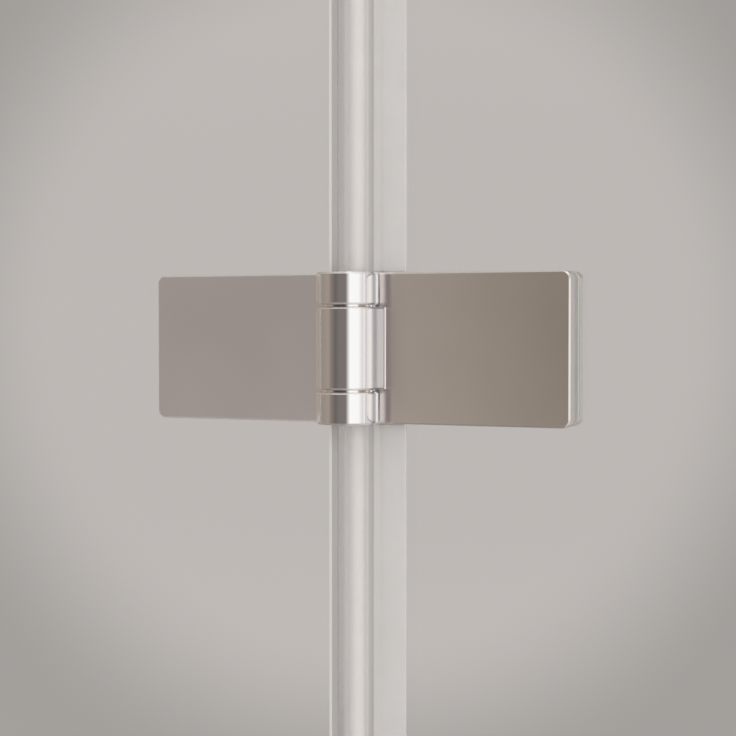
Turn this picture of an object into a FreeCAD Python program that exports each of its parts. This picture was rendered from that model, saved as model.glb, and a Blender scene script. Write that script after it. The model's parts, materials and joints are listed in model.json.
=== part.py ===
import FreeCAD, Part
import os
from types import SimpleNamespace

import Sketcher

# A bath screen of two glass leaves: one held at the wall, one that folds on two barrel hinges.
# X runs from the wall along the screen, Y through the glass with the barrels at minus Y, Z up.
# The origin is where the wall face meets the bath rim, in the centre plane of the glass.

driving_sizes = (
    ("screen_width", 1000, "wall face to the free edge"),
    ("screen_height", 1400, "bath rim to the top of the wall profile"),
    ("fold_axis_reach", 520, "wall face to the fold axis"),
    ("hinge_end_inset", 230, "middle of a hinge to the nearer end of the screen"),
    ("cut_overrun", 2, "how far a cut runs past the solid"),
    ("glass_thickness", 6, "both leaves"),
    ("glass_rim_gap", 12, "bath rim to the glass"),
    ("glass_top_gap", 1, "glass to the cap of the wall profile"),
    ("glass_corner_radius", 8, "free corners of the folding leaf"),
    ("glass_arris", 0.6, "ground edge of the glass"),
    ("fixed_edge_setback", 9.9, "fold axis to the fixed glass"),
    ("moving_edge_setback", 6, "fold axis to the moving glass"),
    ("channel_width", 20, "wall channel, across the screen"),
    ("channel_depth", 25, "wall channel, out from the wall"),
    ("channel_wall", 1.6, "wall channel"),
    ("wall_hole_radius", 2.75, "holes for the wall screws"),
    ("wall_hole_end_inset", 98.75, "first and last wall hole to the ends of the channel"),
    ("inner_hole_share", 1 / 3, "spacing of the two middle wall holes, of that of the outer two"),
    ("slide_clearance", 0.3, "glazing channel in the wall channel"),
    ("profile_inset", 7, "wall face to the glazing channel"),
    ("profile_depth", 33, "glazing channel, out from the wall"),
    ("profile_web_inset", 10, "back of the glazing channel to its web"),
    ("profile_wall", 1.6, "glazing channel"),
    ("glazing_base", 2, "glazing gasket behind the glass edge"),
    ("glazing_lip", 1, "glazing gasket past the channel mouth"),
    ("glazing_clearance", 0.05, "glazing gasket to glass and channel"),
    ("lock_inset", 12, "wall face to the lock screws"),
    ("lock_end_inset", 138.75, "first and last lock screw to the ends of the channel"),
    ("lock_screw_radius", 1.9, "shank"),
    ("lock_screw_length", 6, "shank under the head"),
    ("lock_screw_clearance", 0.1, "shank in its holes"),
    ("lock_head_radius", 3.4, "head"),
    ("lock_head_height", 1.9, "head"),
    ("lock_cap_radius", 5.2, "snap cap"),
    ("lock_cap_height", 3.2, "snap cap"),
    ("lock_cap_wall", 0.9, "snap cap"),
    ("lock_cap_chamfer", 0.8, "rim of the snap cap"),
    ("cap_thickness", 2.5, "profile top cap"),
    ("cap_plug_depth", 12, "plug of the top cap inside the wall channel"),
    ("cap_clearance", 0.3, "plug to the profiles round it"),
    ("cap_chamfer", 0.8, "upper edge of the top cap"),
    ("hinge_height", 45, "leaves and barrel"),
    ("barrel_radius", 9.3, "knuckles"),
    ("axis_stand", 4.5, "fold axis in front of the leaf faces"),
    ("fixed_leaf_reach", 68.4, "fold axis to the end of the fixed leaf"),
    ("moving_leaf_reach", 67.3, "fold axis to the end of the moving leaf"),
    ("leaf_thickness", 4.5, "front plates"),
    ("leaf_corner_radius", 2.5, "outer corners of all four plates"),
    ("leaf_edge_chamfer", 0.5, "outer edge of all four plates"),
    ("leaf_gap", 0.4, "leaf to the other leaf's knuckle"),
    ("leaf_heel", 8, "fold axis to the end of a leaf behind the other leaf's knuckle"),
    ("middle_knuckle_height", 24.5, "knuckle of the moving leaf"),
    ("knuckle_gap", 0.6, "between knuckles"),
    ("knuckle_chamfer", 0.6, "ends of the knuckles"),
    ("flank_spread", 0.8, "foot of a knuckle on its plate, past the barrel"),
    ("back_plate_thickness", 4, "plates behind the glass"),
    ("fixed_back_start", 2, "fold axis to the fixed back plate"),
    ("moving_back_start", 2, "fold axis to the moving back plate"),
    ("gasket_thickness", 0.5, "between plates and glass"),
    ("gasket_inset", 0.3, "gasket edge inside the plate edge"),
    ("gasket_edge_inset", 1, "gasket edge inside the glass edge"),
    ("pin_radius", 4, "hinge pin"),
    ("pin_fit", 0.02, "pin, bush and cap in their seats"),
    ("pin_chamfer", 0.6, "ends of the hinge pin"),
    ("running_clearance", 0.05, "pin in its bush, washer between knuckles"),
    ("bush_wall", 1.5, "bush in the middle knuckle"),
    ("washer_radius", 7.6, "washers between knuckles"),
    ("barrel_cap_radius", 6.5, "caps that close the barrel"),
    ("barrel_cap_height", 2, "caps that close the barrel"),
    ("barrel_cap_chamfer", 0.3, "outer edge of the barrel caps"),
    ("set_screw_radius", 2, "set screws on the hinge pin"),
    ("set_screw_length", 4.9, "set screws on the hinge pin"),
    ("socket_radius", 1.5, "key sockets, centre to corner"),
    ("socket_depth", 1.5, "key sockets"),
    ("clamp_offset", 38, "fold axis to the clamp screws"),
    ("clamp_spacing", 24, "between clamp screws"),
    ("clamp_radius", 2.5, "clamp screws"),
    ("clamp_clearance", 0.2, "clamp screws in the back plate and sleeves"),
    ("clamp_head_radius", 4.9, "countersunk head"),
    ("clamp_head_drop", 0.3, "head below the face of the back plate"),
    ("thread_depth", 3.4, "blind threads in the front plates"),
    ("thread_fit", 0.02, "screw in its thread"),
    ("thread_end_gap", 0.3, "screw tip to the end of its thread"),
    ("sleeve_radius", 5.8, "sleeves in the glass"),
    ("sleeve_clearance", 0.2, "sleeve in the glass hole"),
    ("seal_clearance", 0.1, "seals on the glass"),
    ("seal_wall", 1, "legs of the joint seal"),
    ("seal_base", 1.2, "joint seal over the glass edge"),
    ("seal_front_grip", 9.3, "front leg of the joint seal past the glass edge"),
    ("seal_back_grip", 6.4, "back leg of the joint seal past the glass edge"),
    ("neck_length", 4.2, "base of the joint seal to its bubble"),
    ("neck_thickness", 2, "neck of the joint seal"),
    ("bubble_radius", 3, "bubble of the joint seal"),
    ("bubble_wall", 0.7, "bubble of the joint seal"),
    ("lip_thickness", 0.8, "lip from the bubble to the fixed glass"),
    ("lip_gap", 0.9, "lip to the fixed glass"),
    ("seal_end_gap", 0.5, "joint seal to the hinges and glass ends"),
    ("drip_wall", 1, "legs of the bottom seals"),
    ("drip_base", 1.2, "bottom seals under the glass edge"),
    ("drip_grip", 12, "legs of the bottom seals"),
    ("drip_fin", 1.2, "fin of the bottom seals"),
    ("drip_rim_gap", 1, "fin to the bath rim"),
    ("drip_lip_reach", 4.5, "deflector lip, out from the leg"),
    ("drip_lip_drop", 4, "deflector lip, down from the base"),
    ("drip_end_gap", 0.5, "bottom seals to the profile and glass ends"),
)

near = 1e-4
hexagon_flat_share = 3 ** 0.5 / 2

doc = FreeCAD.newDocument("BathScreen")
sheet = doc.addObject("Spreadsheet::Sheet", "Sizes")
for row, (alias, value, meaning) in enumerate(driving_sizes, 1):
    sheet.set(f"A{row}", meaning)
    sheet.set(f"B{row}", str(value))
    sheet.setAlias(f"B{row}", alias)
doc.recompute()


class Size:
    """A length with its present value and the sheet expression that it follows."""

    def __init__(self, text, value):
        self.text = text
        self.value = value

    def joined(self, sign, other, value):
        return Size(f"({self.text} {sign} {other.text})", value)

    def __add__(self, other):
        return self.joined("+", other, self.value + other.value)

    def __sub__(self, other):
        return self.joined("-", other, self.value - other.value)

    def __mul__(self, factor):
        return Size(f"({self.text} * {factor})", self.value * factor)

    def scaled(self, share):
        return self.joined("*", share, self.value * share.value)

    def __truediv__(self, divisor):
        return Size(f"({self.text} / {divisor})", self.value / divisor)

    def __neg__(self):
        return Size(f"(-{self.text})", -self.value)


zero = Size("0", 0.0)
size = SimpleNamespace(
    **{alias: Size(f"Sizes.{alias}", float(value)) for alias, value, _ in driving_sizes}
)

# Places that several pieces share
glass_half = size.glass_thickness / 2
glass_bottom = size.glass_rim_gap
profile_top = size.screen_height - size.cap_thickness
glass_top = profile_top - size.glass_top_gap
channel_half = size.channel_width / 2
profile_half = channel_half - size.channel_wall - size.slide_clearance
profile_inner = profile_half - size.profile_wall
profile_web = size.profile_inset + size.profile_web_inset
profile_mouth = size.profile_inset + size.profile_depth
gasket_seat = profile_web + size.profile_wall + size.glazing_clearance
fixed_glass_start = gasket_seat + size.glazing_base + size.glazing_clearance
fixed_glass_end = size.fold_axis_reach - size.fixed_edge_setback
moving_glass_start = size.fold_axis_reach + size.moving_edge_setback
hinge_half = size.hinge_height / 2
knuckle_half = size.middle_knuckle_height / 2
gap_end = knuckle_half + size.knuckle_gap
leaf_front = size.axis_stand
leaf_middle = leaf_front + size.leaf_thickness / 2
leaf_back = leaf_front + size.leaf_thickness
glass_front = leaf_back + size.gasket_thickness
glass_back = glass_front + size.glass_thickness
back_plate_front = glass_back + size.gasket_thickness
back_plate_back = back_plate_front + size.back_plate_thickness
axis_y = -(glass_half + size.gasket_thickness + size.leaf_thickness + size.axis_stand)
room_radius = size.barrel_radius + size.leaf_gap
bush_radius = size.pin_radius + size.running_clearance + size.bush_wall
barrel_cap_seat = hinge_half - size.barrel_cap_height
set_screw_height = (gap_end + barrel_cap_seat) / 2
clamp_half = size.clamp_spacing / 2
glass_hole_radius = size.sleeve_radius + size.sleeve_clearance
profile_middle = profile_top / 2
lock_heights = [size.lock_end_inset, profile_middle, profile_top - size.lock_end_inset]
lower_hinge = size.hinge_end_inset
upper_hinge = size.screen_height - size.hinge_end_inset


def bind(thing, prop, length):
    thing.setExpression(prop, length.text)


def new_body(label):
    body = doc.addObject("PartDesign::Body", label)
    body.Label = label
    return body


def put(body, x=zero, y=zero, z=zero):
    bind(body, "Placement.Base.x", x)
    bind(body, "Placement.Base.y", y)
    bind(body, "Placement.Base.z", z)


def origin_feature(body, role):
    return next(item for item in body.Origin.OriginFeatures if item.Role == role)


def pin_down(sketch, curve, point, x, y):
    for kind, length in (("DistanceX", x), ("DistanceY", y)):
        number = sketch.addConstraint(Sketcher.Constraint(kind, -1, 1, curve, point, length.value))
        bind(sketch, f"Constraints[{number}]", length)


def outline(points):
    def draw(sketch):
        count = len(points)
        corners = [FreeCAD.Vector(x.value, y.value, 0) for x, y in points]
        first = sketch.GeometryCount
        for index in range(count):
            sketch.addGeometry(Part.LineSegment(corners[index], corners[(index + 1) % count]), False)
        for index in range(count):
            after = first + (index + 1) % count
            sketch.addConstraint(Sketcher.Constraint("Coincident", first + index, 2, after, 1))
        for index, (x, y) in enumerate(points):
            pin_down(sketch, first + index, 1, x, y)

    return draw


def rectangle(x_low, x_high, y_low, y_high):
    return outline([(x_low, y_low), (x_high, y_low), (x_high, y_high), (x_low, y_high)])


def circle(x, y, radius):
    def draw(sketch):
        centre = FreeCAD.Vector(x.value, y.value, 0)
        ring = sketch.addGeometry(Part.Circle(centre, FreeCAD.Vector(0, 0, 1), radius.value), False)
        pin_down(sketch, ring, 3, x, y)
        number = sketch.addConstraint(Sketcher.Constraint("Radius", ring, radius.value))
        bind(sketch, f"Constraints[{number}]", radius)

    return draw


def hexagon(x, y, radius):
    half = radius / 2
    side = radius * hexagon_flat_share
    corners = [(x + radius, y), (x + half, y + side), (x - half, y + side)]
    corners += [(x - radius, y), (x - half, y - side), (x + half, y - side)]
    return outline(corners)


def add_sketch(body, role, draws, offset=zero):
    sketch = body.newObject("Sketcher::SketchObject", "Sketch")
    sketch.AttachmentSupport = (origin_feature(body, role), [""])
    sketch.MapMode = "FlatFace"
    bind(sketch, "AttachmentOffset.Base.z", offset)
    for draw in draws:
        draw(sketch)
    return sketch


def add_pad(body, sketch, length, both_ways=False):
    feature = body.newObject("PartDesign::Pad", "Pad")
    feature.Profile = sketch
    feature.SideType = "Symmetric" if both_ways else "One side"
    bind(feature, "Length", length)
    return feature


def add_pocket(body, sketch, length=None, forward=False):
    doc.recompute()
    before = body.Shape.Volume
    feature = body.newObject("PartDesign::Pocket", "Pocket")
    feature.Profile = sketch
    if length is None:
        feature.Type = "ThroughAll"
        feature.SideType = "Symmetric"
    else:
        bind(feature, "Length", length)
        feature.Reversed = forward
    doc.recompute()
    if body.Shape.Volume > before - near:
        raise RuntimeError(f"a cut in {body.Label} misses the solid")
    return feature


def add_turned(body, points):
    sketch = add_sketch(body, "XZ_Plane", [outline(points)])
    feature = body.newObject("PartDesign::Revolution", "Revolution")
    feature.Profile = sketch
    feature.ReferenceAxis = (sketch, ["V_Axis"])
    feature.Angle = 360
    return feature


def add_edge_feature(body, kind, prop, length, wanted):
    doc.recompute()
    base = body.Tip
    names = [f"Edge{number}" for number, edge in enumerate(base.Shape.Edges, 1) if wanted(edge)]
    feature = body.newObject(f"PartDesign::{kind}", kind)
    feature.Base = (base, names)
    bind(feature, prop, length)
    doc.recompute()


def add_fillet(body, radius, wanted):
    add_edge_feature(body, "Fillet", "Radius", radius, wanted)


def add_chamfer(body, width, wanted):
    add_edge_feature(body, "Chamfer", "Size", width, wanted)


def add_mirror(body, features, role):
    feature = body.newObject("PartDesign::Mirrored", "Mirrored")
    feature.Originals = features
    feature.MirrorPlane = (origin_feature(body, role), [""])
    body.Tip = feature


def same(first, second):
    return abs(first - second) < near


def flat_at(edge, axis, length):
    box = edge.BoundBox
    low, high = (getattr(box, f"{axis}Min"), getattr(box, f"{axis}Max"))
    return same(low, length.value) and same(high, length.value)


def extrude(label, points, bottom, length):
    body = new_body(label)
    add_pad(body, add_sketch(body, "XY_Plane", [outline(points)]), length)
    put(body, z=bottom)
    return body


def u_outline(back, base, mouth, inner, outer):
    return [
        (back, -outer),
        (mouth, -outer),
        (mouth, -inner),
        (back + base, -inner),
        (back + base, inner),
        (mouth, inner),
        (mouth, outer),
        (back, outer),
    ]


# Wall side

lock_hole_radius = size.lock_screw_radius + size.lock_screw_clearance


def drill_lock_holes(body, outer_face):
    holes = [circle(size.lock_inset, height, lock_hole_radius) for height in lock_heights]
    sketch = add_sketch(body, "XZ_Plane", holes, outer_face + size.cut_overrun)
    add_pocket(body, sketch, size.cut_overrun * 2 + size.channel_wall)


def make_wall_channel():
    inner = channel_half - size.channel_wall
    points = u_outline(zero, size.channel_wall, size.channel_depth, inner, channel_half)
    body = extrude("wall_channel", points, zero, profile_top)
    outer = profile_middle - size.wall_hole_end_inset
    inner = outer.scaled(size.inner_hole_share)
    heights = [profile_middle + outer, profile_middle + inner, profile_middle - inner, profile_middle - outer]
    holes = [circle(zero, height, size.wall_hole_radius) for height in heights]
    add_pocket(body, add_sketch(body, "YZ_Plane", holes))
    drill_lock_holes(body, channel_half)


def make_glazing_channel():
    back, mouth = size.profile_inset, profile_mouth
    web_front = profile_web + size.profile_wall
    points = [
        (back, -profile_half),
        (mouth, -profile_half),
        (mouth, -profile_inner),
        (web_front, -profile_inner),
        (web_front, profile_inner),
        (mouth, profile_inner),
        (mouth, profile_half),
        (back, profile_half),
        (back, profile_inner),
        (profile_web, profile_inner),
        (profile_web, -profile_inner),
        (back, -profile_inner),
    ]
    body = extrude("glazing_channel", points, zero, profile_top)
    drill_lock_holes(body, profile_half)


def make_glazing_gasket():
    inner = glass_half + size.glazing_clearance
    outer = profile_inner - size.glazing_clearance
    mouth = profile_mouth + size.glazing_lip
    points = u_outline(gasket_seat, size.glazing_base, mouth, inner, outer)
    extrude("glazing_gasket", points, glass_bottom, glass_top - glass_bottom)


def make_lock_row(label, points, seat):
    # The three pieces stand on the barrel side of the wall channel, with their axis along Y
    body = new_body(label)
    feature = add_turned(body, points)
    row = body.newObject("PartDesign::LinearPattern", "Row")
    row.Originals = [feature]
    row.Direction = (origin_feature(body, "Y_Axis"), [""])
    bind(row, "Length", lock_heights[-1] - lock_heights[0])
    row.Occurrences = len(lock_heights)
    body.Tip = row
    body.Placement.Rotation = FreeCAD.Rotation(FreeCAD.Vector(1, 0, 0), 90)
    put(body, size.lock_inset, -seat, lock_heights[0])
    return body


def make_lock_pieces():
    shank, head = size.lock_screw_radius, size.lock_head_radius
    screw = [
        (zero, -size.lock_screw_length),
        (shank / 2, -size.lock_screw_length),
        (shank, -size.lock_screw_length + shank),
        (shank, zero),
        (head, zero),
        (head, size.lock_head_height / 2),
        (head / 2, size.lock_head_height),
        (zero, size.lock_head_height),
    ]
    make_lock_row("lock_screws", screw, channel_half)
    outer, wall, slope = size.lock_cap_radius, size.lock_cap_wall, size.lock_cap_chamfer
    height = size.lock_cap_height
    cap = [
        (outer - wall, zero),
        (outer, zero),
        (outer, height - slope),
        (outer - slope, height),
        (zero, height),
        (zero, height - wall),
        (outer - wall, height - wall),
    ]
    make_lock_row("lock_screw_caps", cap, channel_half)


def make_profile_top_cap():
    body = new_body("profile_top_cap")
    points = [
        (zero, -channel_half),
        (size.channel_depth, -channel_half),
        (size.channel_depth, -profile_half),
        (profile_mouth, -profile_half),
        (profile_mouth, profile_half),
        (size.channel_depth, profile_half),
        (size.channel_depth, channel_half),
        (zero, channel_half),
    ]
    add_pad(body, add_sketch(body, "XY_Plane", [outline(points)]), size.cap_thickness)
    add_chamfer(body, size.cap_chamfer, lambda edge: flat_at(edge, "Z", size.cap_thickness))
    plug_back = size.channel_wall + size.cap_clearance
    plug_front = size.profile_inset - size.cap_clearance
    plug_half = channel_half - size.channel_wall - size.cap_clearance
    plug = rectangle(plug_back, plug_front, -plug_half, plug_half)
    sketch = add_sketch(body, "XY_Plane", [plug], -size.cap_plug_depth)
    add_pad(body, sketch, size.cap_plug_depth)
    put(body, z=profile_top)


# Glass leaves


def make_glass(label, start, end, clamp_place):
    body = new_body(label)
    leaf = rectangle(start, end, glass_bottom, glass_top)
    add_pad(body, add_sketch(body, "XZ_Plane", [leaf]), size.glass_thickness, both_ways=True)
    middles = (lower_hinge, upper_hinge)
    heights = [middle + clamp_half for middle in middles] + [middle - clamp_half for middle in middles]
    holes = [circle(clamp_place, height, glass_hole_radius) for height in heights]
    add_pocket(body, add_sketch(body, "XZ_Plane", holes))
    return body


def arris(body):
    def wanted(edge):
        on_face = flat_at(edge, "Y", glass_half) or flat_at(edge, "Y", -glass_half)
        is_hole = edge.Closed
        return on_face and not is_hole

    add_chamfer(body, size.glass_arris, wanted)


def make_fixed_glass():
    clamp_place = size.fold_axis_reach - size.clamp_offset
    arris(make_glass("fixed_glass", fixed_glass_start, fixed_glass_end, clamp_place))


def make_moving_glass():
    clamp_place = size.fold_axis_reach + size.clamp_offset
    body = make_glass("moving_glass", moving_glass_start, size.screen_width, clamp_place)

    def free_corner(edge):
        return flat_at(edge, "X", size.screen_width) and same(edge.Length, size.glass_thickness.value)

    add_fillet(body, size.glass_corner_radius, free_corner)
    arris(body)


# Hinges, each in its own frame: its origin is on the fold axis at the middle of the hinge,
# with the leaves and the glass at plus Y


def put_on_axis(body, middle):
    put(body, size.fold_axis_reach, axis_y, middle)


def span(side, near_end, far_end):
    # From near_end to far_end, away from the fold axis, on the fixed (-1) or the moving (+1) side
    return (near_end, far_end) if side > 0 else (-far_end, -near_end)


def along(side, length):
    return length if side > 0 else -length


def round_corners(body, radius, end, half):
    def corner(edge):
        box = edge.BoundBox
        level = same(box.ZMin, box.ZMax) and same(abs(box.ZMax), half.value)
        return level and flat_at(edge, "X", end) and box.YLength > near

    add_fillet(body, radius, corner)


def trim_plate(body, side, reach, outer_face, plain_reach=zero):
    # Rounded outer corners, and a chamfer round the face that shows, save within plain_reach of the axis
    def rim(edge):
        box = edge.BoundBox
        far_end = max(abs(box.XMin), abs(box.XMax))
        return flat_at(edge, "Y", outer_face) and far_end > plain_reach.value + near

    round_corners(body, size.leaf_corner_radius, along(side, reach), hinge_half)
    add_chamfer(body, size.leaf_edge_chamfer, rim)


def thread_leaf(body, side):
    place = along(side, size.clamp_offset)
    radius = size.clamp_radius + size.thread_fit
    holes = [circle(place, height, radius) for height in (clamp_half, -clamp_half)]
    sketch = add_sketch(body, "XZ_Plane", holes, -(leaf_back + size.cut_overrun))
    add_pocket(body, sketch, size.thread_depth + size.cut_overrun, forward=True)


def make_leaf_plate(label, side, reach, middle):
    body = new_body(label)
    plate = rectangle(*span(side, zero, reach), leaf_front, leaf_back)
    add_pad(body, add_sketch(body, "XY_Plane", [plate]), size.hinge_height, both_ways=True)
    put_on_axis(body, middle)
    return body


def cut_room(body, side, offset, height, forward=False):
    # The room that the other leaf's knuckle turns in, with a square heel behind it
    outside = size.barrel_radius + size.cut_overrun
    ends = (-outside, size.leaf_heel) if side > 0 else (-size.leaf_heel, outside)
    for draw in (circle(zero, zero, room_radius), rectangle(*ends, -outside, leaf_back + outside)):
        add_pocket(body, add_sketch(body, "XY_Plane", [draw], offset), height, forward)


def add_knuckle(body, side, bottom, top):
    # Round, with a sloping flank from its widest place to the plate that carries it
    low = bottom + size.knuckle_chamfer
    high = top - size.knuckle_chamfer
    radius = size.barrel_radius
    shoulder = radius - size.knuckle_chamfer
    lower = [(zero, bottom), (shoulder, bottom), (radius, low)]
    upper = [(radius, high), (shoulder, top), (zero, top)]
    add_turned(body, lower + upper)
    widest = along(side, radius)
    foot = along(side, radius + size.flank_spread)
    flank = [(zero, zero), (widest, zero), (foot, leaf_front), (foot, leaf_middle), (zero, leaf_middle)]
    add_pad(body, add_sketch(body, "XY_Plane", [outline(flank)], low), high - low)


def make_fixed_leaf(label, middle):
    body = make_leaf_plate(label, -1, size.fixed_leaf_reach, middle)
    cut_room(body, -1, gap_end, gap_end * 2)
    trim_plate(body, -1, size.fixed_leaf_reach, leaf_front, size.barrel_radius)
    add_knuckle(body, -1, gap_end, hinge_half)
    add_knuckle(body, -1, -hinge_half, -gap_end)
    bore = circle(zero, zero, size.pin_radius + size.pin_fit)
    add_pocket(body, add_sketch(body, "XY_Plane", [bore]))
    seat = circle(zero, zero, size.barrel_cap_radius + size.pin_fit)
    depth = size.barrel_cap_height + size.cut_overrun
    top = add_sketch(body, "XY_Plane", [seat], hinge_half + size.cut_overrun)
    add_pocket(body, top, depth)
    bottom = add_sketch(body, "XY_Plane", [seat], -(hinge_half + size.cut_overrun))
    add_pocket(body, bottom, depth, forward=True)
    radius = size.set_screw_radius + size.thread_fit
    screws = [circle(zero, height, radius) for height in (set_screw_height, -set_screw_height)]
    outside = size.barrel_radius + size.cut_overrun
    add_pocket(body, add_sketch(body, "XZ_Plane", screws, -outside), outside, forward=True)
    thread_leaf(body, -1)


def make_moving_leaf(label, middle):
    body = make_leaf_plate(label, 1, size.moving_leaf_reach, middle)
    room_height = hinge_half - knuckle_half + size.cut_overrun
    cut_room(body, 1, knuckle_half, room_height, forward=True)
    cut_room(body, 1, -knuckle_half, room_height)
    trim_plate(body, 1, size.moving_leaf_reach, leaf_front, size.barrel_radius)
    add_knuckle(body, 1, -knuckle_half, knuckle_half)
    bore = circle(zero, zero, bush_radius + size.pin_fit)
    add_pocket(body, add_sketch(body, "XY_Plane", [bore]))
    thread_leaf(body, 1)


def make_back_plate(label, side, start, reach, middle):
    body = new_body(label)
    plate = rectangle(*span(side, start, reach), back_plate_front, back_plate_back)
    add_pad(body, add_sketch(body, "XY_Plane", [plate]), size.hinge_height, both_ways=True)
    trim_plate(body, side, reach, back_plate_back)
    place = along(side, size.clamp_offset)
    heights = (clamp_half, -clamp_half)
    holes = [circle(place, height, size.clamp_radius + size.clamp_clearance) for height in heights]
    add_pocket(body, add_sketch(body, "XZ_Plane", holes))

    def hole_mouth(edge):
        return edge.Closed and flat_at(edge, "Y", back_plate_back)

    add_chamfer(body, size.clamp_head_radius - size.clamp_radius, hole_mouth)
    put_on_axis(body, middle)


def make_gasket(label, side, start, reach, front, middle):
    body = new_body(label)
    height = size.hinge_height - size.gasket_inset * 2
    far_end = reach - size.gasket_inset
    ends = span(side, start + size.gasket_edge_inset, far_end)
    sheet_outline = rectangle(*ends, front, front + size.gasket_thickness)
    add_pad(body, add_sketch(body, "XY_Plane", [sheet_outline]), height, both_ways=True)
    corner_radius = size.leaf_corner_radius - size.gasket_inset
    round_corners(body, corner_radius, along(side, far_end), height / 2)
    place = along(side, size.clamp_offset)
    holes = [circle(place, offset, glass_hole_radius) for offset in (clamp_half, -clamp_half)]
    add_pocket(body, add_sketch(body, "XZ_Plane", holes))
    put_on_axis(body, middle)


def make_laid_pair(label, points, x, middle, half_spacing, socket_face=None):
    # Turned about local Z, then laid with that axis along Y, one above and one below the middle
    body = new_body(label)
    features = [add_turned(body, points)]
    if socket_face is not None:
        socket = add_sketch(body, "XY_Plane", [hexagon(zero, zero, size.socket_radius)], socket_face)
        features.append(add_pocket(body, socket, size.socket_depth))
    pair = body.newObject("PartDesign::LinearPattern", "Pair")
    pair.Originals = features
    pair.Direction = (origin_feature(body, "Y_Axis"), [""])
    bind(pair, "Length", half_spacing * 2)
    pair.Occurrences = 2
    body.Tip = pair
    body.Placement.Rotation = FreeCAD.Rotation(FreeCAD.Vector(1, 0, 0), -90)
    put(body, x, axis_y, middle + half_spacing)


def clamp_column(side):
    return size.fold_axis_reach + along(side, size.clamp_offset)


def make_clamp_screws(label, side, middle):
    tip = leaf_back - size.thread_depth + size.thread_end_gap
    face = back_plate_back - size.clamp_head_drop
    head = size.clamp_head_radius - size.clamp_head_drop - size.clamp_clearance
    cone = head - size.clamp_radius
    points = [
        (zero, tip),
        (size.clamp_radius, tip),
        (size.clamp_radius, face - cone),
        (head, face),
        (zero, face),
    ]
    make_laid_pair(label, points, clamp_column(side), middle, clamp_half, face)


def make_glass_sleeves(label, side, middle):
    inner = size.clamp_radius + size.clamp_clearance
    points = [
        (inner, leaf_back),
        (size.sleeve_radius, leaf_back),
        (size.sleeve_radius, back_plate_front),
        (inner, back_plate_front),
    ]
    make_laid_pair(label, points, clamp_column(side), middle, clamp_half)


def make_hinge_pin(label, middle):
    body = new_body(label)
    top = barrel_cap_seat
    radius, slope = size.pin_radius, size.pin_chamfer
    points = [
        (zero, -top),
        (radius - slope, -top),
        (radius, -top + slope),
        (radius, top - slope),
        (radius - slope, top),
        (zero, top),
    ]
    add_turned(body, points)
    put_on_axis(body, middle)


def make_hinge_bush(label, middle):
    body = new_body(label)
    inner = size.pin_radius + size.running_clearance
    points = [
        (inner, -knuckle_half),
        (bush_radius, -knuckle_half),
        (bush_radius, knuckle_half),
        (inner, knuckle_half),
    ]
    add_turned(body, points)
    put_on_axis(body, middle)


def make_mirrored_pair(label, points, middle):
    body = new_body(label)
    feature = add_turned(body, points)
    add_mirror(body, [feature], "XY_Plane")
    put_on_axis(body, middle)


def make_hinge_washers(label, middle):
    inner = size.pin_radius + size.running_clearance
    low = knuckle_half + size.running_clearance
    points = [(inner, low), (size.washer_radius, low), (size.washer_radius, gap_end), (inner, gap_end)]
    make_mirrored_pair(label, points, middle)


def make_barrel_caps(label, middle):
    radius, slope = size.barrel_cap_radius, size.barrel_cap_chamfer
    points = [
        (zero, barrel_cap_seat),
        (radius, barrel_cap_seat),
        (radius, hinge_half - slope),
        (radius - slope, hinge_half),
        (zero, hinge_half),
    ]
    make_mirrored_pair(label, points, middle)


def make_set_screws(label, middle):
    tip = size.pin_radius + size.thread_fit
    end = tip + size.set_screw_length
    points = [(zero, tip), (size.set_screw_radius, tip), (size.set_screw_radius, end), (zero, end)]
    make_laid_pair(label, points, size.fold_axis_reach, middle, set_screw_height, end)


def make_hinge(name, middle):
    make_fixed_leaf(f"{name}_fixed_leaf", middle)
    make_moving_leaf(f"{name}_moving_leaf", middle)
    sides = (
        ("fixed", -1, size.fixed_leaf_reach, size.fixed_back_start, size.fixed_edge_setback),
        ("moving", 1, size.moving_leaf_reach, size.moving_back_start, size.moving_edge_setback),
    )
    for word, side, reach, back_start, glass_edge in sides:
        make_back_plate(f"{name}_{word}_back_plate", side, back_start, reach, middle)
        front_start = size.leaf_heel if side > 0 else glass_edge
        make_gasket(f"{name}_{word}_front_gasket", side, front_start, reach, leaf_back, middle)
        make_gasket(f"{name}_{word}_back_gasket", side, glass_edge, reach, glass_back, middle)
        make_clamp_screws(f"{name}_{word}_clamp_screws", side, middle)
        make_glass_sleeves(f"{name}_{word}_glass_sleeves", side, middle)
    make_hinge_pin(f"{name}_hinge_pin", middle)
    make_hinge_bush(f"{name}_hinge_bush", middle)
    make_hinge_washers(f"{name}_hinge_washers", middle)
    make_barrel_caps(f"{name}_barrel_caps", middle)
    make_set_screws(f"{name}_pin_set_screws", middle)


# Seals


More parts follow.
